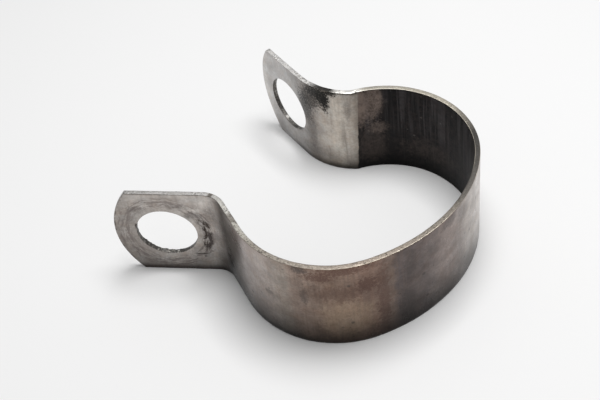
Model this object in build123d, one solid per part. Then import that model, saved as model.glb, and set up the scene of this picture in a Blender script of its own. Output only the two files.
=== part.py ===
from build123d import *
import os
from math import cos, radians, sin, sqrt

# Strap clamp band for a tube, lying sprung open as it comes off the tube.
# Millimetres and degrees. +Z runs along the tube's axis, from the band's lower
# edge to its upper edge. The origin is the centre of the seat arc, on the lower
# edge. The mouth between the two ears faces -X, and the front ear is on the -Y side.
#
# The real band is one strip. It springs open and closed, so it is made here as
# five sections that meet face to face at four flex lines, which stand upright on
# the inner face of the strip. All bend radii are those of the strip's middle.

# Strip
strip_width = 25.0
strip_thickness = 1.2

# Ears: flat lugs with a bolt hole and a rounded end
hole_diameter = 14.0
ear_end_radius = 19.8       # the end's arc, which starts and ends at the corners
ear_splay = 24.0            # slope of each ear from the X axis while the band lies open
front_ear_length = 17.6     # flat length from the neck to the corners
front_hole_inset = 7.6      # from the line of the corners to the hole's centre
front_end_skew = 0.0        # how much further out the upper corner stands than the lower
rear_ear_length = 12.5
rear_hole_inset = 6.6
rear_end_skew = 2.2         # the rear end is sheared a little askew

# Loop, from the seat arc round the back to the front neck
seat_radius = 20.6          # inner radius where the band grips the tube
seat_turn = 112.0
back_rear_radius = 32.0
back_rear_turn = 33.0
back_front_radius = 39.0
back_front_turn = 32.0
shoulder_radius = 22.5
shoulder_turn = 82.0
flank_length = 8.5          # straight run up to the front neck
neck_radius = 5.7
neck_turn = 56.5

# Loop, from the seat arc out to the rear ear
crease_radius = 2.0         # sharp fold at the mouth
crease_turn = 21.5
flare_radius = 16.3         # gentle bend outwards into the rear ear
flare_turn = 49.0

# Where the flex lines cut their bends, as a share of the bend counted from the back
seat_flex_share = 0.5
back_flex_share = 0.5
shoulder_flex_share = 0.5


def side_of(heading, side):
    """Unit vector square to a heading: side 1 is its left, -1 its right."""
    angle = radians(heading + 90 * side)
    return Vector(cos(angle), sin(angle))


class Run:
    """One stretch of the strip's middle line, straight or bent to a radius."""

    def __init__(self, start, heading, length=0.0, radius=0.0, turn=0.0):
        self.start, self.heading = start, heading
        self.length, self.radius, self.turn = length, radius, turn

    @property
    def bend_side(self):
        return 1 if self.turn > 0 else -1

    @property
    def centre(self):
        return self.start + side_of(self.heading, self.bend_side) * self.radius

    @property
    def end(self):
        if not self.turn:
            return self.start + side_of(self.heading, 0) * self.length
        return self.centre - side_of(self.end_heading, self.bend_side) * self.radius

    @property
    def end_heading(self):
        return self.heading + self.turn

    def edge(self, side):
        """The run's edge on one face of the strip, seen from above."""
        offset = side * strip_thickness / 2
        if not self.turn:
            shift = side_of(self.heading, 1) * offset
            return Line(self.start + shift, self.end + shift)
        from_centre = self.heading - 90 * self.bend_side
        face_radius = self.radius - offset * self.bend_side
        return CenterArc(self.centre, face_radius, from_centre, self.turn)


def walk(start, heading, steps):
    """Lay runs end to end. A step is a length, or a radius and a turn."""
    runs = []
    for step in steps:
        if isinstance(step, tuple):
            run = Run(start, heading, radius=step[0], turn=step[1])
        else:
            run = Run(start, heading, length=step)
        runs.append(run)
        start, heading = run.end, run.end_heading
    return runs


def strip(runs):
    """The solid stretch of strip that follows some runs."""
    first, last = runs[0], runs[-1]
    half = strip_thickness / 2
    outline = [run.edge(side) for side in (1, -1) for run in runs]
    for point, heading in ((first.start, first.heading), (last.end, last.end_heading)):
        across = side_of(heading, 1) * half
        outline.append(Line(point - across, point + across))
    return extrude(make_face(outline), amount=strip_width)


def ear(runs, hole_inset, end_skew):
    """A stretch of strip whose last run is an ear: a flat lug with a hole and a rounded end."""
    flat = runs[-1]
    middle = strip_width / 2
    bulge = ear_end_radius - sqrt(ear_end_radius**2 - middle**2)
    upper, lower = flat.length + end_skew / 2, flat.length - end_skew / 2
    outline = Line((0, 0), (lower, 0))
    outline += ThreePointArc((lower, 0), (flat.length + bulge, middle), (upper, strip_width))
    outline += Polyline((upper, strip_width), (0, strip_width), (0, 0))
    left_face = flat.start + side_of(flat.heading, 1) * strip_thickness / 2
    plane = Plane(
        origin=left_face,
        x_dir=side_of(flat.heading, 0),
        z_dir=side_of(flat.heading, -1),
    )
    lug = extrude(plane * make_face(outline), amount=strip_thickness)
    drill = Cylinder(hole_diameter / 2, hole_diameter)
    return strip(runs[:-1]) + lug - plane * Pos(flat.length - hole_inset, middle) * drill


# The seat arc ends at the crease, with the rear ear beyond it at its splay.
seat_middle_radius = seat_radius + strip_thickness / 2
crease_heading = 180 - ear_splay + flare_turn + crease_turn
back_heading = crease_heading - seat_turn
back_point = side_of(back_heading, -1) * seat_middle_radius

# Rearwards from the back point, turning left round the tube.
seat_near_turn = seat_turn * seat_flex_share
rear_steps = [
    (seat_middle_radius, seat_near_turn),
    (seat_middle_radius, seat_turn - seat_near_turn),
    (crease_radius, -crease_turn),
    (flare_radius, -flare_turn),
    rear_ear_length,
]
rear_runs = walk(back_point, back_heading, rear_steps)

# Forwards from the back point, turning right round the tube.
back_near_turn = back_front_turn * back_flex_share
shoulder_near_turn = shoulder_turn * shoulder_flex_share
front_steps = [
    (back_rear_radius, -back_rear_turn),
    (back_front_radius, -back_near_turn),
    (back_front_radius, back_near_turn - back_front_turn),
    (shoulder_radius, -shoulder_near_turn),
    (shoulder_radius, shoulder_near_turn - shoulder_turn),
    flank_length,
    (neck_radius, neck_turn),
    front_ear_length,
]
front_runs = walk(back_point, back_heading + 180, front_steps)

sections = {
    "loop_back": strip(front_runs[:2]),
    "front_side": strip(front_runs[2:4]),
    "front_ear": ear(front_runs[4:], front_hole_inset, front_end_skew),
    "rear_side": strip(rear_runs[:1]),
    "rear_ear": ear(rear_runs[1:], rear_hole_inset, rear_end_skew),
}

# Flex lines stand on the inner face: left of the rear runs, right of the front ones.
flex_lines = {
    "back_front_flex": (front_runs[2], -1),
    "shoulder_flex": (front_runs[4], -1),
    "back_rear_flex": (rear_runs[0], 1),
    "seat_flex": (rear_runs[1], 1),
}

os.makedirs("parts", exist_ok=True)
for name, solid in sections.items():
    solid.label = name
    export_step(solid, f"parts/{name}.step")

for name, (run, side) in flex_lines.items():
    spot = run.start + side_of(run.heading, side) * strip_thickness / 2
    print(f"{name}: x {spot.X:.4f} y {spot.Y:.4f} mm")

holes = {
    "front_ear": (front_runs[-1], front_hole_inset),
    "rear_ear": (rear_runs[-1], rear_hole_inset),
}
for name, (run, inset) in holes.items():
    spot = run.end - side_of(run.heading, 0) * inset
    print(f"{name} hole: x {spot.X:.4f} y {spot.Y:.4f} mm, heading {run.heading % 360:.2f} degrees")
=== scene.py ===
from math import asin, atan2, cos, degrees, pi, radians, sin, sqrt, tan

import bpy
from mathutils import Matrix, Vector


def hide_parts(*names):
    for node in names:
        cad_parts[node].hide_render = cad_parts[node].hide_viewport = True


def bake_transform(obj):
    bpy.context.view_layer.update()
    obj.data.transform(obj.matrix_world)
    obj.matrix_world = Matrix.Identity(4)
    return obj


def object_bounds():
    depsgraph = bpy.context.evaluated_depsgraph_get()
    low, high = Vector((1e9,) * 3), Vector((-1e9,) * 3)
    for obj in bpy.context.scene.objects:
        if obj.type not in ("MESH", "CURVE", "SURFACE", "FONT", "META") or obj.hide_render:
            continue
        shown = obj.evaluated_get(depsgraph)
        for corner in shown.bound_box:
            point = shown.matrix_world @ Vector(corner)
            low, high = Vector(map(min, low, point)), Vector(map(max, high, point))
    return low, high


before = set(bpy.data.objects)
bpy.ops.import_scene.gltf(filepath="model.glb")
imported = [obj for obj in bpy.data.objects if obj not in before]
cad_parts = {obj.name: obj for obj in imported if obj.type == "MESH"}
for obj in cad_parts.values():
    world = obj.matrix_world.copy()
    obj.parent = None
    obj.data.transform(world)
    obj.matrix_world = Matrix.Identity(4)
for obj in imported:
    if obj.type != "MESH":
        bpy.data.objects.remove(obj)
cad_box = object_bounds()

# The strap is modelled in millimetres, flat, as the punched blank it was made from:
# X runs along the strip from the front ear's corners, Y through its thickness from the
# outer face to the inner face, and Z up its width. Then it is bent and scaled to metres.
MM = 0.001

# Strip and ears
strip_width = (cad_box[1].z - cad_box[0].z) / MM
strip_middle = strip_width / 2
strip_thickness = 1.2
hole_radius = 7.0
ear_end_radius = 19.8
front_ear_length = 17.6
front_hole_inset = 7.6
rear_ear_length = 12.5
rear_hole_inset = 6.6
rear_end_skew = 2.2         # the rear end is sheared a little askew

# Bends from the front ear round to the rear ear: a straight length, or a radius and a turn to the left
neck = (5.7, -56.5)
flank = 8.5
shoulder = (22.5, 82.0)
back_front = (39.0, 32.0)
back_rear = (32.0, 33.0)
half_seat = (21.2, 56.0)    # the seat's arc is two of these, because it turns too far for one
crease = (2.0, -21.5)
flare = (16.3, -49.0)
ear_splay = 24.0
bends_to_seat = [front_ear_length, neck, flank, shoulder, back_front, back_rear]
seat = [half_seat, half_seat]
bends_past_seat = [crease, flare, rear_ear_length]
bends = bends_to_seat + seat + bends_past_seat
END_ROOM = 8.0              # spare length of the bending line past each ear's corners

# Fineness of the mesh and of the line that bends it, and the softness of its punched edges
HOLE_POINTS = 128
EAR_RINGS = 14
STRIP_STEP = 0.53
LINE_STEPS = 40
EDGE_SOFTNESS = 0.16


def run_length(run):
    """Length of one run of the strip's middle line."""
    if isinstance(run, tuple):
        radius, turn = run
        return radius * radians(abs(turn))
    return run


def total_length(runs):
    """Length of several runs, end to end."""
    return sum(run_length(run) for run in runs)


strip_length = total_length(bends)
front_hole = Vector((front_hole_inset, 0, strip_middle))
rear_hole = Vector((strip_length - rear_hole_inset, 0, strip_middle))
end_arc_centre = sqrt(ear_end_radius ** 2 - strip_middle ** 2)
ear_reach = strip_middle    # each ear's ring of faces reaches as far inwards as it does up and down
front_join = front_hole.x + ear_reach
rear_join = rear_hole.x - ear_reach
crease_start = total_length(bends_to_seat + seat)
crease_end = crease_start + run_length(crease)

# The strap is shown in four lengths. It flexes from flex_start to flex_end, and each length has one of
# the clamp's flex lines near the middle of its flexing part. The ears beyond keep their shape.
flex_start = 34.3
cuts = [61.3, 89.5, 114.5]
flex_end = 135.3
CUT_GUARD = 0.03            # how close beside a cut the strip has an extra line


def select_none():
    """Leave nothing selected, out of edit mode."""
    if bpy.context.object and bpy.context.object.mode != "OBJECT":
        bpy.ops.object.mode_set(mode="OBJECT")
    bpy.ops.object.select_all(action="DESELECT")


def work_on(piece):
    """Make a piece the only one selected, and the active one."""
    select_none()
    piece.select_set(True)
    bpy.context.view_layer.objects.active = piece


def apply_modifier(piece, kind, **settings):
    """Add a modifier to a piece, set it and apply it."""
    work_on(piece)
    modifier = piece.modifiers.new(kind, kind)
    for setting, value in settings.items():
        setattr(modifier, setting, value)
    bpy.ops.object.modifier_apply(modifier=modifier.name)


def pick_edges(piece, wanted):
    """Select, in edit mode, the edges whose two ends are both wanted."""
    work_on(piece)
    bpy.ops.object.mode_set(mode="EDIT")
    bpy.ops.mesh.select_mode(type="EDGE")
    bpy.ops.mesh.select_all(action="DESELECT")
    bpy.ops.object.mode_set(mode="OBJECT")
    vertices = piece.data.vertices
    for edge in piece.data.edges:
        edge.select = all(wanted(vertices[i].co) for i in edge.vertices)
    bpy.ops.object.mode_set(mode="EDIT")


def stretch_between(start, end, count):
    """Evenly spaced points from start up to, but without, end."""
    return [start.lerp(end, i / count) for i in range(count)]


def ear_end(corner_line, way, skew, count):
    """Points up an ear's rounded end, from its lower corner up to, but without, its upper corner."""
    half_angle = asin(strip_middle / ear_end_radius)
    chord_depth = ear_end_radius * cos(half_angle)
    points = []
    for i in range(count):
        angle = half_angle * (2 * i / count - 1)
        height = strip_middle + ear_end_radius * sin(angle)
        bulge = ear_end_radius * cos(angle) - chord_depth
        lean = skew * (height / strip_width - 0.5)
        points.append(Vector((corner_line + way * (bulge + lean), 0, height)))
    return points


def ear_outline(hole, corner_line, way, skew):
    """Outline of one ear back to its join with the strip, spaced as evenly as it is seen from the hole."""
    join = hole.x - way * ear_reach
    lower_corner = Vector((corner_line - way * skew / 2, 0, 0))
    upper_corner = Vector((corner_line + way * skew / 2, 0, strip_width))
    lower_join = Vector((join, 0, 0))
    upper_join = Vector((join, 0, strip_width))

    def shares(corner):
        # The way round is counted from the ear's end. The join's corners stand 135 degrees round.
        seen = degrees(atan2(strip_middle, way * (corner.x - hole.x)))
        return round((135 - seen) / 360 * HOLE_POINTS)

    join_points = HOLE_POINTS // 4
    lower_points, upper_points = shares(lower_corner), shares(upper_corner)
    end_points = HOLE_POINTS - join_points - lower_points - upper_points
    return (
        ear_end(corner_line, way, skew, end_points)
        + stretch_between(upper_corner, upper_join, upper_points)
        + stretch_between(upper_join, lower_join, join_points)
        + stretch_between(lower_join, lower_corner, lower_points)
    )


def flat_ear(name, hole, corner_line, way, skew):
    """One ear of the blank: rings of faces from the punched hole out to the ear's outline."""
    outline = ear_outline(hole, corner_line, way, skew)
    loop = [(i, (i + 1) % len(outline)) for i in range(len(outline))]
    mesh = bpy.data.meshes.new(name)
    mesh.from_pydata(outline, loop, [])
    ear = bpy.data.objects.new(name, mesh)
    bpy.context.scene.collection.objects.link(ear)
    work_on(ear)
    bpy.ops.object.mode_set(mode="EDIT")
    bpy.ops.mesh.primitive_circle_add(
        vertices=HOLE_POINTS, radius=hole_radius, location=hole, rotation=(pi / 2, 0, 0)
    )
    bpy.ops.mesh.select_all(action="SELECT")
    bpy.ops.mesh.bridge_edge_loops(number_cuts=EAR_RINGS, interpolation="LINEAR")
    bpy.ops.object.mode_set(mode="OBJECT")
    return ear


def punch_blank():
    """The flat strap, with its two ears and holes, as one sheet of faces without thickness."""
    front = flat_ear("strap_blank", front_hole, 0.0, -1, 0.0)
    rear = flat_ear("rear_blank", rear_hole, strip_length, 1, rear_end_skew)
    work_on(front)
    rear.select_set(True)
    bpy.ops.object.join()
    near = 0.01
    pick_edges(front, lambda co: min(abs(co.x - front_join), abs(co.x - rear_join)) < near)
    steps = round((rear_join - front_join) / STRIP_STEP)
    bpy.ops.mesh.bridge_edge_loops(number_cuts=steps - 1, interpolation="LINEAR")
    bpy.ops.mesh.select_all(action="SELECT")
    bpy.ops.mesh.remove_doubles(threshold=near)
    bpy.ops.mesh.normals_make_consistent(inside=False)
    bpy.ops.object.mode_set(mode="OBJECT")
    return front


def add_bend_lines(blank):
    """Extra lines across the strip where it is folded sharply, and close beside each cut."""
    fold_shares = (-0.3, 0.0, 0.25, 0.5, 0.75, 1.0, 1.3)
    fold_lines = [crease_start + share * (crease_end - crease_start) for share in fold_shares]
    cut_lines = [cut + side * CUT_GUARD for cut in cuts for side in (-1, 1)]
    for place in fold_lines + cut_lines:
        work_on(blank)
        bpy.ops.object.mode_set(mode="EDIT")
        bpy.ops.mesh.select_all(action="SELECT")
        bpy.ops.mesh.bisect(plane_co=(place, 0, 0), plane_no=(1, 0, 0))
        bpy.ops.object.mode_set(mode="OBJECT")


def dent(blank, name, grain_size, strength, weight_at, direction="NORMAL"):
    """Push the skin in and out by a cloudy pattern, as strongly as the weight at each place says."""
    group = blank.vertex_groups.new(name=name)
    for vertex in blank.data.vertices:
        group.add([vertex.index], weight_at(vertex.co), "REPLACE")
    clouds = bpy.data.textures.new(name, "CLOUDS")
    clouds.noise_scale = grain_size
    clouds.noise_depth = 2
    apply_modifier(
        blank, "DISPLACE", texture=clouds, texture_coords="LOCAL", direction=direction,
        mid_level=0.5, strength=strength, vertex_group=name,
    )
    blank.vertex_groups.remove(blank.vertex_groups[name])


def from_hole(co):
    """Distance from the nearer hole's centre, and the way round it: 0 along the strip, 90 upwards."""
    hole = front_hole if co.x < strip_length / 2 else rear_hole
    across, upwards = co.x - hole.x, co.z - hole.z
    return sqrt(across ** 2 + upwards ** 2), degrees(atan2(upwards, across))


def edge_weight(co):
    """How strongly a place belongs to the strip's two long edges."""
    return 1.0 if min(co.z, strip_width - co.z) < 2 * EDGE_SOFTNESS else 0.0


def torn_hole_weight(co):
    """The front hole's wall is torn where the punch left it, low down and on the ear's end side."""
    torn_way, least = -125, 0.15
    distance, way_round = from_hole(co)
    on_wall = co.x < front_join and distance < hole_radius + 1.5 * EDGE_SOFTNESS
    return max(least, cos(radians(way_round - torn_way))) if on_wall else 0.0


def make_blank():
    """The finished flat strap: punched, given its thickness, edges softened and handled a little."""
    blank = punch_blank()
    add_bend_lines(blank)
    apply_modifier(blank, "SOLIDIFY", thickness=strip_thickness, offset=0.0)
    apply_modifier(
        blank, "BEVEL", limit_method="ANGLE", angle_limit=radians(45), width=EDGE_SOFTNESS, segments=2,
    )
    dent(blank, "handling", grain_size=14.0, strength=0.16, weight_at=lambda co: 1.0, direction="Y")
    dent(blank, "worn edges", grain_size=1.1, strength=0.05, weight_at=edge_weight)
    dent(blank, "torn hole", grain_size=0.8, strength=0.55, weight_at=torn_hole_weight)
    return blank


def along(heading):
    """Unit vector of a heading, seen from above."""
    return Vector((cos(radians(heading)), sin(radians(heading)), 0))


def follow(run, start, heading, distance):
    """The point so far along one run, which starts at a point and heading."""
    if not isinstance(run, tuple):
        return start + along(heading) * distance
    radius, turn = run
    side = 1 if turn > 0 else -1
    centre = start + along(heading + 90 * side) * radius
    return centre + Matrix.Rotation(side * distance / radius, 3, "Z") @ (start - centre)


def walk(runs):
    """Point and heading at each end of every run, with the seat's arc centred on the origin."""
    point, heading = Vector((0, 0, 0)), ear_splay
    stations = [(point, heading)]
    for run in runs:
        if run == half_seat:
            seat_centre = point + along(heading + 90) * run[0]
        point = follow(run, point, heading, run_length(run))
        if isinstance(run, tuple):
            heading += run[1]
        stations.append((point, heading))
    return [(point - seat_centre, heading) for point, heading in stations]


def bending_line():
    """A curve along the middle of the bent strip. Each bend is an arc, held by a handle at either end."""
    runs = [END_ROOM] + bends + [END_ROOM]
    curve = bpy.data.curves.new("bending_line", "CURVE")
    curve.dimensions = "2D"
    curve.resolution_u = LINE_STEPS
    points = curve.splines.new("BEZIER").bezier_points
    points.add(len(runs))
    stations = walk(runs)
    for point, (place, heading) in zip(points, stations):
        point.handle_left_type = point.handle_right_type = "FREE"
        point.co = point.handle_left = point.handle_right = place
    for i, run in enumerate(runs):
        if isinstance(run, tuple):
            radius, turn = run
            reach = radius * 4 / 3 * tan(radians(abs(turn)) / 4)
        else:
            reach = run / 3
        points[i].handle_right += along(stations[i][1]) * reach
        points[i + 1].handle_left -= along(stations[i + 1][1]) * reach
    line = bpy.data.objects.new("bending_line", curve)
    bpy.context.scene.collection.objects.link(line)
    return line


def keep_between(piece, start, end):
    """Cut a piece square across the strip at both places, and close the cuts."""
    for place, side in ((start, 1), (end, -1)):
        if place is None:
            continue
        work_on(piece)
        bpy.ops.object.mode_set(mode="EDIT")
        bpy.ops.mesh.select_all(action="SELECT")
        bpy.ops.mesh.bisect(
            plane_co=(place, 0, 0), plane_no=(side, 0, 0), use_fill=True, clear_inner=True
        )
        bpy.ops.object.mode_set(mode="OBJECT")


def note_flat_places(piece):
    """Remember each point's place on the flat strap, in millimetres, for the finishes to follow."""
    places = piece.data.attributes.new("blank", "FLOAT_VECTOR", "POINT")
    for vertex, place in zip(piece.data.vertices, places.data):
        place.vector = vertex.co


def finish_of(face):
    """Which finish a face of the flat strap has: it lies on the outer or inner face, the rim or a hole."""
    # Half of each softened edge goes with the flat face beside it.
    if abs(face.normal.y) > 0.7:
        return "outer" if face.normal.y < 0 else "inner"
    in_hole = from_hole(face.center)[0] < hole_radius + 3 * EDGE_SOFTNESS
    return "hole" if in_hole else "rim"


def give_finishes(piece, finishes):
    """Give each face of a piece its own finish."""
    names = list(finishes)
    for name in names:
        piece.data.materials.append(finishes[name])
    for face in piece.data.polygons:
        face.material_index = names.index(finish_of(face))


def middle_point(distance):
    """The point so far along the bent strap's middle line, halfway up its width, in metres."""
    for run, (start, heading) in zip(bends, walk(bends)):
        if distance <= run_length(run):
            break
        distance -= run_length(run)
    point = follow(run, start, heading, distance)
    return (point + Vector((0, 0, strip_middle))) * MM


def length_of_strap(blank, line, name, start, end, finishes):
    """One length of the strap, cut from the flat blank, finished, bent and brought to metres."""
    piece = blank.copy()
    piece.data = blank.data.copy()
    piece.name = piece.data.name = name
    bpy.context.scene.collection.objects.link(piece)
    keep_between(piece, start, end)
    note_flat_places(piece)
    give_finishes(piece, finishes)
    piece.data.transform(Matrix.Translation((END_ROOM, 0, 0)))
    apply_modifier(piece, "CURVE", object=line, deform_axis="POS_X")
    piece.data.transform(Matrix.Scale(MM, 4))
    work_on(piece)
    bpy.ops.object.shade_smooth_by_angle(angle=radians(32))
    apply_modifier(piece, "WEIGHTED_NORMAL", keep_sharp=True)
    return piece


class Finish:
    """The nodes of a material or of a shared effect, and ways to place and join them."""

    def __init__(self, tree):
        self.tree = tree

    def add(self, kind, **settings):
        node = self.tree.nodes.new(kind)
        for setting, value in settings.items():
            setattr(node, setting, value)
        return node

    def feed(self, socket, value):
        """Wire a socket from another, or set it to a plain value."""
        if isinstance(value, bpy.types.NodeSocket):
            self.tree.links.new(value, socket)
        else:
            socket.default_value = value

    def feed_all(self, node, values):
        """Feed a node's inputs by their names."""
        for label, value in values.items():
            self.feed(node.inputs[label], value)

    def maths(self, operation, *values):
        node = self.add("ShaderNodeMath", operation=operation)
        for socket, value in zip(node.inputs, values):
            self.feed(socket, value)
        return node.outputs[0]

    def product(self, first, *others):
        """Masks and plain strengths, multiplied together."""
        for other in others:
            first = self.maths("MULTIPLY", first, other)
        return first

    def distance(self, across, upwards):
        """Length of an offset across and upwards."""
        squares = self.maths("ADD", self.maths("POWER", across, 2.0), self.maths("POWER", upwards, 2.0))
        return self.maths("SQRT", squares)

    def joined(self, *values):
        """Three values made one vector."""
        node = self.add("ShaderNodeCombineXYZ")
        for socket, value in zip(node.inputs, values):
            self.feed(socket, value)
        return node.outputs[0]

    def parts(self, vector):
        """The three parts of a vector: along the strap, through it, and up its width."""
        node = self.add("ShaderNodeSeparateXYZ")
        self.feed(node.inputs[0], vector)
        return tuple(node.outputs)

    def noise(self, vector, scale, detail=3.0, roughness=0.55):
        node = self.add("ShaderNodeTexNoise")
        self.feed_all(node, {"Vector": vector, "Scale": scale, "Detail": detail, "Roughness": roughness})
        return node.outputs["Fac"]

    def fade(self, value, start, end):
        """0 before start, 1 past end, and smooth between. Start may be the larger."""
        node = self.add("ShaderNodeMapRange", interpolation_type="SMOOTHSTEP")
        self.feed_all(node, {"Value": value, "From Min": start, "From Max": end})
        return node.outputs["Result"]

    def stretch(self, value, start, full, fading, end):
        """1 from full to fading, 0 before start and past end, and smooth between."""
        return self.product(self.fade(value, start, full), self.fade(value, end, fading))

    def between(self, share, first, second):
        """A value that goes from first to second as the share goes from 0 to 1."""
        return self.maths("MULTIPLY_ADD", share, second - first, first)

    def paint(self, under, share, over, blend_type="MIX"):
        """Lay a colour over another by a share, which may be a mask."""
        node = self.add("ShaderNodeMix", data_type="RGBA", blend_type=blend_type)
        self.feed(node.inputs[0], share)
        # The mix node's number, vector and colour sockets share names, so these go by position.
        for position, colour in ((6, under), (7, over)):
            self.feed(node.inputs[position], (*colour, 1.0) if isinstance(colour, tuple) else colour)
        return node.outputs[2]

    def bands(self, value, stops):
        """A colour that changes along the strap: each stop is a place in millimetres and a colour."""
        first, last = stops[0][0], stops[-1][0]
        node = self.add("ShaderNodeValToRGB")
        node.color_ramp.interpolation = "EASE"
        elements = node.color_ramp.elements
        for place, colour in stops[1:-1]:
            elements.new((place - first) / (last - first))
        for element, (place, colour) in zip(elements, stops):
            element.color = (*colour, 1.0)
        self.feed(node.inputs[0], self.maths("DIVIDE", self.maths("SUBTRACT", value, first), last - first))
        return node.outputs[0]

    def relief(self, height, depth):
        """A bump from a height pattern, so many millimetres deep."""
        node = self.add("ShaderNodeBump")
        self.feed_all(node, {"Distance": depth * MM, "Height": height})
        return node.outputs["Normal"]


class Steel(Finish):
    """A steel material that goes by each point's place on the flat strap, and uses the shared effects."""

    def __init__(self, name, effects):
        self.material = bpy.data.materials.new(name)
        self.material.use_nodes = True
        super().__init__(self.material.node_tree)
        self.effects = effects
        self.shader = self.tree.nodes["Principled BSDF"].inputs
        self.shader["Metallic"].default_value = 1.0
        self.place = self.add("ShaderNodeAttribute", attribute_name="blank").outputs["Vector"]

    def mark(self, effect, **values):
        """A shared effect, laid on the strap with its own values here."""
        node = self.add("ShaderNodeGroup", node_tree=self.effects[effect])
        self.feed_all(node, {"place": self.place, **values})
        return node.outputs[0]

    def stained(self, under, colour, stains):
        """A colour with stains: place along, height, length, width, raggedness, grain and strength."""
        for at, height, length, width, raggedness, grain, strength in stains:
            mask = self.mark(
                "stain", at=at, height=height, length=length, width=width, raggedness=raggedness, grain=grain
            )
            under = self.paint(under, self.product(mask, strength), colour)
        return under

    def mottled(self, colour, depth):
        """A colour broken up by fine grime, and by patches that lean to brown and to blue."""
        fine = self.mark("blotches", size=0.6, softness=0.25)
        coarse = self.mark("blotches", size=3.2, softness=0.25)
        lean = self.noise(self.place, 0.4, detail=6.0, roughness=0.75)
        warm = self.fade(lean, 0.48, 0.66)
        cool = self.fade(lean, 0.50, 0.34)
        for mask, tint in (
            (fine, (0.62, 0.60, 0.59)),
            (coarse, (0.50, 0.46, 0.44)),
            (warm, (1.0, 0.93, 0.87)),
            (cool, (0.91, 0.96, 1.0)),
        ):
            colour = self.paint(colour, self.product(mask, depth), tint, "MULTIPLY")
        return colour


def new_effect(name, **inputs):
    """A shader node group with named inputs and one mask as its output."""
    tree = bpy.data.node_groups.new(name, "ShaderNodeTree")
    for label, usual in inputs.items():
        kind = "NodeSocketVector" if isinstance(usual, tuple) else "NodeSocketFloat"
        socket = tree.interface.new_socket(name=label, in_out="INPUT", socket_type=kind)
        socket.default_value = usual
    tree.interface.new_socket(name="mask", in_out="OUTPUT", socket_type="NodeSocketFloat")
    effect = Finish(tree)
    return effect, effect.add("NodeGroupInput").outputs, effect.add("NodeGroupOutput").inputs["mask"]


def brushing():
    """Fine upright streaks across the strip, as a worn or wiped metal face has them."""
    effect, given, mask = new_effect("brushing", place=(0, 0, 0), fineness=2.0, straightness=14.0)
    along_strip, through, up = effect.parts(given["place"])
    squeezed = effect.joined(along_strip, through, effect.maths("DIVIDE", up, given["straightness"]))
    effect.feed(mask, effect.noise(squeezed, given["fineness"], detail=4.0, roughness=0.6))
    return effect.tree


def blotches():
    """Cloudy patches, size millimetres apart."""
    effect, given, mask = new_effect("blotches", place=(0, 0, 0), size=5.0, softness=0.15)
    fineness = effect.maths("DIVIDE", 1.0, given["size"])
    cloud = effect.noise(given["place"], fineness, detail=5.0, roughness=0.6)
    low = effect.maths("SUBTRACT", 0.5, given["softness"])
    high = effect.maths("ADD", 0.5, given["softness"])
    effect.feed(mask, effect.fade(cloud, low, high))
    return effect.tree


def stain():
    """One stain with a ragged soft edge and a mottled middle, at a place on the strap."""
    effect, given, mask = new_effect(
        "stain", place=(0, 0, 0), at=0.0, height=0.0, length=1.0, width=1.0, raggedness=0.6, grain=1.0
    )
    along_strip, _, up = effect.parts(given["place"])
    across = effect.maths("DIVIDE", effect.maths("SUBTRACT", along_strip, given["at"]), given["length"])
    upwards = effect.maths("DIVIDE", effect.maths("SUBTRACT", up, given["height"]), given["width"])
    cloud = effect.noise(given["place"], given["grain"], detail=6.0, roughness=0.75)
    cloud = effect.maths("SUBTRACT", cloud, 0.5)
    reach = effect.maths("MULTIPLY_ADD", cloud, given["raggedness"], effect.distance(across, upwards))
    spread = effect.fade(reach, 1.3, 0.55)
    fine_cloud = effect.noise(given["place"], effect.product(given["grain"], 3.0), detail=4.0, roughness=0.7)
    mottle = effect.between(effect.fade(fine_cloud, 0.30, 0.62), 0.45, 1.0)
    effect.feed(mask, effect.product(spread, mottle))
    return effect.tree


def pitting():
    """Small round pits or specks, some larger than others, spacing millimetres apart."""
    effect, given, mask = new_effect("pitting", place=(0, 0, 0), spacing=1.5, size=0.2)
    cells = effect.add("ShaderNodeTexVoronoi")
    fineness = effect.maths("DIVIDE", 1.0, given["spacing"])
    effect.feed_all(cells, {"Vector": given["place"], "Scale": fineness})
    luck = effect.add("ShaderNodeSeparateColor")
    effect.feed(luck.inputs[0], cells.outputs["Color"])
    reach = effect.product(given["size"], effect.maths("POWER", luck.outputs[0], 3.0))
    effect.feed(mask, effect.fade(cells.outputs["Distance"], reach, effect.product(reach, 0.4)))
    return effect.tree


def washer_mark():
    """Thin broken arcs that a turning washer leaves round a bolt hole."""
    effect, given, mask = new_effect(
        "washer mark", place=(0, 0, 0), hole=7.6, inside=8.2, outside=10.6, arc_length=3.0, gaps=0.5
    )
    inside, outside = given["inside"], given["outside"]
    along_strip, _, up = effect.parts(given["place"])
    across = effect.maths("SUBTRACT", along_strip, given["hole"])
    upwards = effect.maths("SUBTRACT", up, strip_middle)
    wander = effect.maths("SUBTRACT", effect.noise(given["place"], 0.35, detail=3.0), 0.5)
    distance = effect.maths("MULTIPLY_ADD", wander, 1.6, effect.distance(across, upwards))
    turns = effect.maths("DIVIDE", 10.0, given["arc_length"])
    around = effect.joined(
        effect.product(effect.maths("DIVIDE", across, distance), turns),
        effect.product(effect.maths("DIVIDE", upwards, distance), turns),
        effect.product(distance, 1.9),
    )
    arcs = effect.noise(around, 1.0, detail=5.0, roughness=0.7)
    kept = effect.fade(arcs, given["gaps"], effect.maths("ADD", given["gaps"], 0.14))
    rise = effect.fade(distance, effect.maths("SUBTRACT", inside, 0.4), effect.maths("ADD", inside, 0.5))
    fall = effect.fade(distance, effect.maths("ADD", outside, 0.5), effect.maths("SUBTRACT", outside, 0.6))
    effect.feed(mask, effect.product(rise, fall, kept))
    return effect.tree


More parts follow.
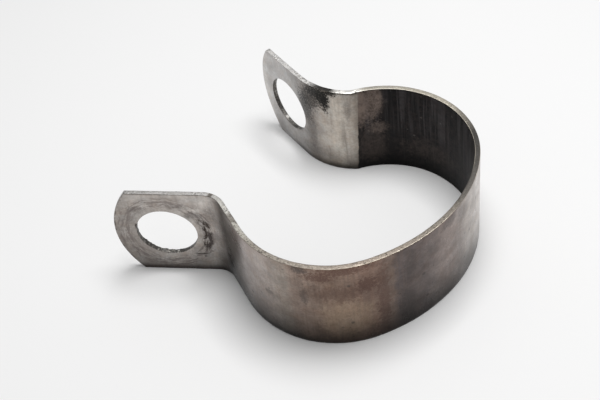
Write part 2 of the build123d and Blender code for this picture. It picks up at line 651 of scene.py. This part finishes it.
def end_nicks():
    """Small dark nicks along the arc of the front ear's rounded end."""
    effect, given, mask = new_effect("end nicks", place=(0, 0, 0), centre=15.4, radius=19.8)
    along_strip, _, up = effect.parts(given["place"])
    across = effect.maths("SUBTRACT", along_strip, given["centre"])
    upwards = effect.maths("SUBTRACT", up, strip_middle)
    inwards = effect.maths("SUBTRACT", given["radius"], effect.distance(across, upwards))
    cloud = effect.noise(given["place"], 0.8, detail=4.0, roughness=0.7)
    at_edge = effect.product(effect.fade(inwards, 0.6, 0.2), effect.fade(across, -8.0, -14.0))
    effect.feed(mask, effect.product(at_edge, effect.fade(cloud, 0.50, 0.58)))
    return effect.tree


def painted_low_shade():
    """Painted shade along the strap's lower edge, which it stood on: darker towards the bottom, fading out up
    to a height.
    """
    effect, given, mask = new_effect("painted low shade", place=(0, 0, 0), height=13.0)
    _, _, up = effect.parts(given["place"])
    cloud = effect.noise(given["place"], 0.3, detail=5.0, roughness=0.65)
    ragged = effect.maths("ADD", up, effect.between(cloud, -2.0, 2.0))
    effect.feed(mask, effect.fade(ragged, given["height"], -3.0))
    return effect.tree


# In the finishes, places along the strap and heights on it are millimetres, and colours are linear.


def browned_steel(finish, along_strip, clouds):
    """The outer face's steel: grey on the ears and the back, with painted shade across the neck, browned by
    heat round the front.
    """
    drift = finish.between(finish.noise(finish.place, 0.3, detail=6.0, roughness=0.7), -2.2, 2.2)
    colour = finish.bands(finish.maths("ADD", along_strip, drift), (
        (-2.0, (0.47, 0.445, 0.42)),
        (6.0, (0.57, 0.54, 0.51)),
        (18.0, (0.60, 0.57, 0.54)),
        # 20.5 to 30 mm: the dark band across the neck is painted shade.
        (20.5, (0.38, 0.355, 0.335)),
        (24.0, (0.165, 0.15, 0.14)),
        (28.0, (0.21, 0.185, 0.17)),
        (30.0, (0.29, 0.25, 0.23)),
        (34.0, (0.47, 0.42, 0.40)),
        (40.0, (0.44, 0.39, 0.36)),
        (45.5, (0.37, 0.325, 0.285)),
        (48.0, (0.325, 0.255, 0.215)),
        (56.0, (0.30, 0.22, 0.175)),
        (64.0, (0.26, 0.18, 0.145)),
        (68.5, (0.215, 0.165, 0.14)),
        (69.8, (0.14, 0.117, 0.115)),
        (75.0, (0.155, 0.13, 0.125)),
        (84.0, (0.31, 0.26, 0.24)),
        (94.0, (0.56, 0.52, 0.49)),
        (99.0, (0.74, 0.70, 0.67)),
        (106.0, (0.82, 0.79, 0.76)),
        (120.0, (0.58, 0.56, 0.54)),
        (175.0, (0.50, 0.48, 0.46)),
    ))
    colour = finish.mottled(colour, 0.6)
    colour = finish.paint(colour, finish.product(clouds, 0.3), (0.40, 0.36, 0.33), "MULTIPLY")
    streaks = finish.mark("brushing", fineness=1.6, straightness=16.0)
    browned = finish.stretch(along_strip, 44.0, 52.0, 69.0, 76.0)
    streaked = finish.product(finish.fade(streaks, 0.42, 0.68), finish.between(browned, 0.15, 0.5))
    colour = finish.paint(colour, streaked, (0.12, 0.09, 0.075))
    tan = (0.52, 0.40, 0.27)
    return finish.stained(colour, tan, (
        (58.5, 8.5, 6.0, 6.5, 2.2, 0.8, 0.24),
    ))


def ear_marks(finish, colour):
    """What a bolt left on the front ear: a worn ring, a bruise by the hole, stains and a scratch."""
    ring = finish.mark("washer mark", hole=front_hole.x, inside=8.3, outside=11.6, gaps=0.44)
    colour = finish.paint(colour, finish.product(ring, 0.75), (0.17, 0.145, 0.135))
    bruise = finish.mark("stain", at=17.2, height=12.0, length=2.4, width=7.5, raggedness=1.4, grain=0.5)
    arcs = finish.mark(
        "washer mark", hole=front_hole.x, inside=8.6, outside=10.6, arc_length=2.0, gaps=0.42
    )
    colour = finish.paint(colour, finish.product(bruise, arcs, 1.35), (0.045, 0.035, 0.03))
    dark_grime = (0.06, 0.05, 0.047)
    colour = finish.stained(colour, dark_grime, (
        (17.4, 11.0, 0.5, 2.6, 2.4, 2.2, 1.2),
        (16.7, 8.4, 0.7, 0.8, 2.2, 2.0, 1.0),
        (14.5, 18.6, 2.4, 1.0, 2.2, 1.3, 0.5),
        (18.6, 19.0, 1.8, 2.5, 1.6, 0.8, 0.3),
        (13.2, 21.2, 3.6, 1.0, 1.6, 0.9, 0.35),
        (2.0, 20.0, 2.6, 1.2, 1.6, 0.9, 0.35),
        (-3.5, 9.0, 0.8, 4.0, 2.0, 1.2, 0.3),
        (3.5, 2.6, 3.0, 0.9, 1.8, 1.0, 0.3),
        (0.9, 14.4, 0.45, 1.0, 1.4, 2.4, 1.3),
    ))
    scratch = (14.6, 5.6, 1.7, 0.14, 0.1, 1.0, 1.3)
    return finish.stained(colour, (0.04, 0.035, 0.03), (scratch,))


def loop_marks(finish, colour):
    """Dark stains in the neck and round the loop, and reddish ones where heat browned it."""
    dark_grime = (0.06, 0.05, 0.047)
    colour = finish.stained(colour, dark_grime, (
        (24.0, 3.5, 2.6, 5.5, 1.2, 0.6, 0.75),
        (41.2, 13.0, 1.1, 0.7, 1.8, 1.8, 0.6),
        (49.5, 24.4, 1.6, 1.4, 4.5, 2.2, 0.9),
        (49.8, 15.5, 0.9, 2.6, 4.5, 2.2, 0.6),
        (71.8, 6.5, 2.2, 6.5, 1.2, 0.8, 0.85),
        (72.8, 19.5, 1.5, 5.0, 1.8, 0.7, 0.6),
        (76.2, 13.5, 0.5, 0.5, 0.5, 2.0, 1.0),
        (79.0, 21.0, 2.0, 3.5, 1.9, 0.8, 0.35),
        (84.0, 23.4, 2.6, 1.5, 1.8, 0.9, 0.6),
        (88.0, 10.0, 3.5, 6.0, 1.8, 0.8, 0.2),
        (89.0, 21.5, 2.5, 2.5, 1.9, 0.8, 0.35),
    ))
    reddish = (0.10, 0.06, 0.048)
    return finish.stained(colour, reddish, (
        (53.5, 22.2, 3.4, 1.3, 4.5, 1.6, 1.0),
        (58.5, 24.0, 6.0, 1.3, 4.0, 1.3, 1.0),
        (63.0, 18.6, 2.2, 2.4, 4.5, 1.6, 1.1),
        (57.0, 17.0, 6.0, 2.6, 4.5, 1.2, 0.6),
        (66.4, 13.0, 1.5, 11.0, 4.0, 1.2, 0.8),
    ))


def shade_and_reflection_by_height(finish, colour, along_strip, up):
    """Painted shade darkening the outer face towards its lower edge, and a painted reflection lightening its
    upper part.
    """
    # Painted shade: darker towards the lower edge, weaker on the front ear and from the seat onwards, and
    # darker still in a narrow band at the bottom from the front ear to the front of the loop.
    off_ear = finish.between(finish.fade(along_strip, 17.0, 21.5), 0.42, 1.0)
    before_seat = finish.between(finish.fade(along_strip, 104.0, 96.0), 0.35, 1.0)
    low = finish.product(finish.mark("painted low shade", height=13.0), off_ear, before_seat)
    foot_shade = finish.product(finish.fade(up, 2.4, 0.4), finish.fade(along_strip, 60.0, 40.0))
    # Painted reflection: the outer face is made lighter towards the top, on the front ear and neck and round
    # the loop.
    front_top_reflection = finish.product(finish.fade(up, 15.0, 24.0), finish.fade(along_strip, 46.0, 34.0))
    loop_top_reflection = finish.product(finish.fade(up, 18.0, 24.0), finish.stretch(along_strip, 17.0, 22.0, 80.0, 92.0))
    for mask, tint in (
        (low, (0.07, 0.066, 0.066)),
        (foot_shade, (0.30, 0.28, 0.28)),
        (front_top_reflection, (1.12, 1.12, 1.12)),
        (loop_top_reflection, (1.22, 1.22, 1.22)),
    ):
        colour = finish.paint(colour, mask, tint, "MULTIPLY")
    return colour


def outer_steel(effects):
    """Outer face: worn grey steel, browned by heat round the front of the loop."""
    finish = Steel("outer steel", effects)
    along_strip, _, up = finish.parts(finish.place)
    clouds = finish.mark("blotches", size=4.5, softness=0.2)
    fine_streaks = finish.mark("brushing", fineness=5.0, straightness=30.0)
    pits = finish.mark("pitting", spacing=2.2, size=0.3)
    nicks = finish.mark("end nicks", centre=end_arc_centre, radius=ear_end_radius)
    colour = browned_steel(finish, along_strip, clouds)
    colour = ear_marks(finish, colour)
    colour = loop_marks(finish, colour)
    colour = finish.paint(colour, finish.product(pits, 0.6), (0.05, 0.045, 0.04))
    colour = finish.paint(colour, finish.product(nicks, 0.8), (0.06, 0.055, 0.05))
    finish.feed(finish.shader["Base Color"], shade_and_reflection_by_height(finish, colour, along_strip, up))
    rough = finish.maths("ADD", finish.between(clouds, 0.24, 0.36), finish.between(fine_streaks, -0.06, 0.08))
    finish.feed(finish.shader["Roughness"], rough)
    bumps = finish.maths("SUBTRACT", finish.product(fine_streaks, 0.6), pits)
    finish.feed(finish.shader["Normal"], finish.relief(bumps, 0.02))
    return finish.material


def clean_steel(finish, along_strip, streaks):
    """The inner face where it is free of soot: palest beyond the crease, with a black blotch by the hole."""
    colour = finish.bands(along_strip, (
        (0.0, (0.46, 0.44, 0.42)),
        (145.0, (0.36, 0.325, 0.285)),
        (147.0, (0.54, 0.50, 0.45)),
        (149.5, (0.70, 0.65, 0.58)),
        (152.5, (0.58, 0.54, 0.49)),
        (156.5, (0.32, 0.295, 0.275)),
        (161.0, (0.40, 0.39, 0.38)),
        (166.0, (0.50, 0.49, 0.48)),
        (173.0, (0.56, 0.55, 0.54)),
        (176.0, (0.72, 0.71, 0.69)),
    ))
    colour = finish.mottled(colour, 0.6)
    near_crease = finish.fade(along_strip, 158.0, 152.0)
    streaked = finish.product(finish.fade(streaks, 0.45, 0.65), finish.between(near_crease, 0.1, 0.3))
    colour = finish.paint(colour, streaked, (0.20, 0.165, 0.14))
    black = (0.014, 0.013, 0.012)
    return finish.stained(colour, black, (
        (153.2, 22.8, 1.9, 2.6, 3.4, 1.8, 1.3),
        (152.4, 21.2, 1.1, 2.8, 4.0, 2.6, 1.3),
        (155.0, 23.6, 2.6, 1.8, 3.0, 1.8, 1.1),
        (156.8, 20.6, 3.4, 3.4, 4.0, 2.0, 0.9),
        (158.6, 17.0, 2.2, 4.5, 4.0, 2.0, 0.8),
        (150.8, 24.4, 1.6, 1.0, 3.5, 2.4, 1.1),
        (157.0, 11.0, 1.6, 5.5, 2.0, 0.9, 0.4),
        (147.0, 20.0, 0.8, 4.0, 2.0, 1.0, 0.35),
        (148.3, 10.0, 0.7, 6.0, 2.0, 1.0, 0.25),
        (158.5, 4.0, 3.0, 2.0, 1.8, 0.8, 0.3),
    ))


def soot(finish, along_strip, up, streaks, specks):
    """Black soot baked on by the tube, with upright ribs, and a brown patch just before the crease."""
    ribs = finish.fade(finish.mark("brushing", fineness=0.75, straightness=30.0), 0.44, 0.60)
    ribs = finish.product(ribs, finish.fade(up, 8.0, 15.0), 0.8)
    colour = finish.paint((0.0075, 0.0072, 0.0077), ribs, (0.066, 0.060, 0.062))
    colour = finish.paint(colour, finish.fade(streaks, 0.5, 0.8), (0.03, 0.028, 0.027))
    brown = finish.fade(finish.noise(finish.place, 0.9, detail=6.0, roughness=0.75), 0.42, 0.62)
    colour = finish.paint(colour, finish.product(brown, 0.5), (0.040, 0.030, 0.028))
    burnt_brown = (0.27, 0.21, 0.178)
    colour = finish.stained(colour, burnt_brown, (
        (142.2, 21.2, 3.8, 5.6, 1.6, 0.9, 0.8),
        (144.4, 20.4, 1.6, 6.6, 1.6, 1.0, 0.9),
        (139.6, 22.5, 1.0, 3.2, 2.2, 1.6, 0.7),
        (140.0, 13.0, 2.6, 1.8, 3.4, 1.8, 0.45),
        (141.6, 7.0, 4.0, 6.0, 2.6, 1.0, 0.17),
        (127.0, 7.0, 8.0, 3.5, 2.4, 0.8, 0.09),
    ))
    charred = finish.fade(finish.noise(finish.place, 0.75, detail=6.0, roughness=0.72), 0.48, 0.62)
    colour = finish.paint(colour, finish.product(charred, 0.45), (0.016, 0.012, 0.012))
    patch_edge = finish.stretch(along_strip, 134.0, 137.0, 137.8, 139.6)
    colour = finish.paint(colour, finish.product(patch_edge, 0.45), (0.010, 0.0095, 0.010))
    return finish.paint(colour, finish.product(specks, 0.15), (0.30, 0.28, 0.26))


def inner_steel(effects):
    """Inner face: black with soot where it gripped the tube, cleaner steel out on the ears."""
    finish = Steel("inner steel", effects)
    finish.shader["Specular IOR Level"].default_value = 0.25
    along_strip, _, up = finish.parts(finish.place)
    streaks = finish.mark("brushing", fineness=1.3, straightness=14.0)
    fine_streaks = finish.mark("brushing", fineness=4.0, straightness=24.0)
    specks = finish.mark("pitting", spacing=1.9, size=0.22)
    wander = finish.between(finish.noise(finish.place, 0.8, detail=5.0, roughness=0.7), -0.45, 0.45)
    leaning = finish.maths("MULTIPLY_ADD", up, 0.06, finish.maths("ADD", along_strip, wander))
    before_crease = finish.fade(leaning, crease_start + 0.45, crease_start + 0.05)
    past_neck = finish.fade(finish.maths("MULTIPLY_ADD", wander, 6.0, along_strip), 24.0, 30.0)
    sooty = finish.product(before_crease, past_neck)
    clean = clean_steel(finish, along_strip, streaks)
    colour = finish.paint(clean, sooty, soot(finish, along_strip, up, streaks, specks))
    # Painted shade: the inner face darker towards its lower edge, weaker on the rear ear, and darker still in
    # a narrow band at the bottom before the rear ear.
    off_ear = finish.between(finish.fade(along_strip, 158.0, 150.0), 0.15, 1.0)
    low = finish.product(finish.mark("painted low shade", height=8.5), off_ear)
    colour = finish.paint(colour, low, (0.06, 0.057, 0.055), "MULTIPLY")
    foot_shade = finish.product(finish.fade(up, 2.2, 0.5), finish.fade(along_strip, 168.0, 161.0))
    colour = finish.paint(colour, foot_shade, (0.45, 0.44, 0.43), "MULTIPLY")
    finish.feed(finish.shader["Base Color"], colour)
    finish.feed(finish.shader["Metallic"], finish.between(sooty, 1.0, 0.75))
    rough = finish.maths("ADD", finish.between(sooty, 0.32, 0.5), finish.between(fine_streaks, -0.08, 0.1))
    finish.feed(finish.shader["Roughness"], rough)
    finish.feed(finish.shader["Normal"], finish.relief(finish.maths("ADD", fine_streaks, specks), 0.03))
    return finish.material


def sheared_steel(finish, along_strip, pits):
    """The rim's steel from end to end: pale, mottled and pitted, with a painted highlight at the crease and
    blackest just beyond it.
    """
    drift = finish.between(finish.noise(finish.place, 0.35, detail=4.0), -2.0, 2.0)
    colour = finish.bands(finish.maths("ADD", along_strip, drift), (
        (-6.0, (0.54, 0.53, 0.52)),
        (18.0, (0.60, 0.59, 0.58)),
        (24.0, (0.76, 0.75, 0.71)),
        (32.0, (0.60, 0.58, 0.53)),
        (38.0, (0.38, 0.35, 0.31)),
        (62.0, (0.37, 0.32, 0.275)),
        (84.0, (0.26, 0.235, 0.205)),
        (92.0, (0.16, 0.15, 0.138)),
        (110.0, (0.10, 0.096, 0.09)),
        (116.0, (0.30, 0.28, 0.245)),
        (121.0, (0.60, 0.56, 0.48)),
        (142.0, (0.62, 0.59, 0.52)),
        # From 145 to 149.3 mm the rim is painted white: a painted highlight at the crease.
        (145.0, (1.0, 0.98, 0.93)),
        (149.3, (1.0, 0.98, 0.94)),
        (150.6, (0.05, 0.048, 0.045)),
        (153.6, (0.07, 0.068, 0.065)),
        (157.0, (0.92, 0.91, 0.90)),
        (178.0, (0.92, 0.91, 0.90)),
    ))
    # The painted highlight at the crease is kept mostly clear of grime.
    crease_highlight = finish.stretch(along_strip, 142.0, 145.0, 148.5, 150.0)
    grime = finish.mark("blotches", size=0.35, softness=0.2)
    grimy = finish.product(grime, finish.between(crease_highlight, 0.6, 0.1))
    colour = finish.paint(colour, grimy, (0.50, 0.47, 0.43), "MULTIPLY")
    along_neck = finish.stretch(along_strip, 18.0, 26.0, 42.0, 62.0)
    by_crease = finish.stretch(along_strip, 147.0, 150.0, 157.0, 164.0)
    speckle = finish.fade(finish.noise(finish.place, 1.6, detail=6.0, roughness=0.8), 0.50, 0.60)
    speckle = finish.product(speckle, finish.maths("MAXIMUM", along_neck, by_crease), 0.85)
    pitted = finish.maths("MAXIMUM", finish.product(pits, 0.4), speckle)
    colour = finish.paint(colour, pitted, (0.07, 0.06, 0.05))
    return finish.stained(colour, (0.09, 0.07, 0.055), (
        (19.6, strip_width, 0.5, 0.8, 0.6, 2.0, 1.0),
        (28.5, strip_width, 1.6, 1.2, 2.4, 2.4, 0.7),
    ))


def edge_lines(finish, colour, along_strip, through, clouds):
    """Painted lines along the rim: painted shade on its outer edge, a painted highlight on that edge round
    the loop, and a painted highlight on its inner edge.
    """
    # Painted shade: a dark line on the rim's outer edge from the front ear to the front of the loop.
    edge_shade_stretch = finish.between(finish.fade(along_strip, 15.0, 26.0), 1.0, 0.75)
    edge_shade_stretch = finish.product(finish.fade(along_strip, 84.0, 60.0), edge_shade_stretch)
    edge_shade_line = finish.product(finish.fade(through, -0.44, -0.50), edge_shade_stretch)
    colour = finish.paint(colour, edge_shade_line, (0.05, 0.045, 0.04))
    # Painted highlight: a bright cream line on the very outer edge round the loop, broken up by the clouds.
    outer_glint_stretch = finish.stretch(along_strip, 42.0, 56.0, 104.0, 110.0)
    outer_glint_line = finish.product(finish.fade(through, -0.50, -0.54), outer_glint_stretch)
    outer_glint_line = finish.product(outer_glint_line, finish.between(clouds, 1.0, 0.4))
    colour = finish.paint(colour, outer_glint_line, (0.86, 0.78, 0.64))
    # Painted highlight: a bright line on the rim's inner edge round the back of the loop.
    inner_glint_stretch = finish.stretch(along_strip, 96.0, 104.0, 118.0, 124.0)
    inner_glint_line = finish.product(finish.fade(through, 0.44, 0.52), inner_glint_stretch, 0.8)
    return finish.paint(colour, inner_glint_line, (0.80, 0.74, 0.62))


def rim_steel(effects):
    """Sheared rim: pale rough steel with small pits, browned and blackened in places."""
    finish = Steel("rim steel", effects)
    along_strip, through, _ = finish.parts(finish.place)
    clouds = finish.mark("blotches", size=1.2, softness=0.25)
    pits = finish.mark("pitting", spacing=0.7, size=0.5)
    colour = sheared_steel(finish, along_strip, pits)
    finish.feed(finish.shader["Base Color"], edge_lines(finish, colour, along_strip, through, clouds))
    finish.feed(finish.shader["Roughness"], finish.between(clouds, 0.36, 0.55))
    grain = finish.noise(finish.place, 3.5, detail=4.0, roughness=0.7)
    finish.feed(finish.shader["Normal"], finish.relief(finish.maths("SUBTRACT", grain, pits), 0.06))
    return finish.material


def hole_steel(effects):
    """Punched wall of a hole: dark torn steel with paler specks."""
    finish = Steel("hole steel", effects)
    grain = finish.noise(finish.place, 2.2, detail=5.0, roughness=0.7)
    specks = finish.mark("pitting", spacing=1.3, size=0.6)
    colour = finish.paint((0.10, 0.095, 0.09), finish.fade(grain, 0.45, 0.7), (0.32, 0.30, 0.27))
    colour = finish.paint(colour, finish.product(specks, 0.6), (0.62, 0.60, 0.57))
    finish.feed(finish.shader["Base Color"], colour)
    finish.feed(finish.shader["Roughness"], finish.between(grain, 0.3, 0.6))
    finish.feed(finish.shader["Normal"], finish.relief(grain, 0.15))
    return finish.material


def make_floor():
    """A plain pale floor under the strap."""
    bpy.ops.mesh.primitive_plane_add(size=3.0, location=(0, 0, 0))
    floor = bpy.context.object
    floor.name = "floor"
    material = bpy.data.materials.new("pale floor")
    material.use_nodes = True
    shader = material.node_tree.nodes["Principled BSDF"]
    shader.inputs["Base Color"].default_value = (0.86, 0.86, 0.86, 1)
    shader.inputs["Roughness"].default_value = 0.7
    shader.inputs["Specular IOR Level"].default_value = 0.2
    floor.data.materials.append(material)


def add_softbox(name, place, aim, size, power):
    """A square soft light at a place, facing a point."""
    lamp = bpy.data.lights.new(name, "AREA")
    lamp.size = size
    lamp.energy = power
    light = bpy.data.objects.new(name, lamp)
    light.location = place
    light.rotation_euler = (Vector(aim) - Vector(place)).to_track_quat("-Z", "Y").to_euler()
    bpy.context.scene.collection.objects.link(light)


def set_lights():
    """A bright plain studio: light from all round and a large soft light overhead."""
    bpy.context.scene.view_settings.view_transform = "Standard"
    world = bpy.data.worlds.new("studio")
    world.use_nodes = True
    background = world.node_tree.nodes["Background"].inputs
    background["Color"].default_value = (1, 1, 1, 1)
    background["Strength"].default_value = 0.32
    bpy.context.scene.world = world
    add_softbox("overhead", place=(0.02, 0.06, 0.5), aim=(0, 0, 0), size=0.28, power=2.2)


def set_camera():
    """Looks down on the strap from the front right, tilted a little."""
    azimuth, elevation, roll = radians(37.367), radians(46.262), radians(-8.567)
    aim = Vector((-22.89, -1.45, 0)) * MM
    distance = 276.218 * MM
    ahead = Vector((-sin(azimuth) * cos(elevation), cos(azimuth) * cos(elevation), -sin(elevation)))
    level = Vector((cos(azimuth), sin(azimuth), 0))
    steep = level.cross(ahead)
    right = cos(roll) * level + sin(roll) * steep
    up = right.cross(ahead)
    camera = bpy.data.objects.new("camera", bpy.data.cameras.new("camera"))
    camera.data.lens = 68.0
    camera.data.sensor_width = 36.0
    camera.data.clip_start = 0.01
    facing = Matrix((right, up, -ahead)).transposed().to_4x4()
    camera.matrix_world = Matrix.Translation(aim - ahead * distance) @ facing
    bpy.context.scene.collection.objects.link(camera)
    bpy.context.scene.camera = camera


set_camera()
set_lights()
make_floor()

blank = make_blank()
line = bending_line()
effects = {}
for make_effect in (brushing, blotches, stain, pitting, washer_mark, end_nicks, painted_low_shade):
    effect = make_effect()
    effects[effect.name] = effect
finishes = {
    "outer": outer_steel(effects),
    "inner": inner_steel(effects),
    "rim": rim_steel(effects),
    "hole": hole_steel(effects),
}
front_cut, back_cut, rear_cut = cuts

front_ear = length_of_strap(blank, line, "strap_front_ear", None, front_cut, finishes)
front_loop = length_of_strap(blank, line, "strap_front_loop", front_cut, back_cut, finishes)
rear_loop = length_of_strap(blank, line, "strap_rear_loop", back_cut, rear_cut, finishes)
rear_ear = length_of_strap(blank, line, "strap_rear_ear", rear_cut, None, finishes)
for scrap in (blank, line):
    bpy.data.objects.remove(scrap)

middle_point(flex_start)
middle_point(front_cut)
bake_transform(front_ear)
middle_point(front_cut)
middle_point(back_cut)
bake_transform(front_loop)
middle_point(back_cut)
middle_point(rear_cut)
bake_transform(rear_loop)
middle_point(rear_cut)
middle_point(flex_end)
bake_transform(rear_ear)
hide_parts("front_ear")
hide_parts("front_side")
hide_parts("loop_back", "rear_side")
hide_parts("rear_ear")
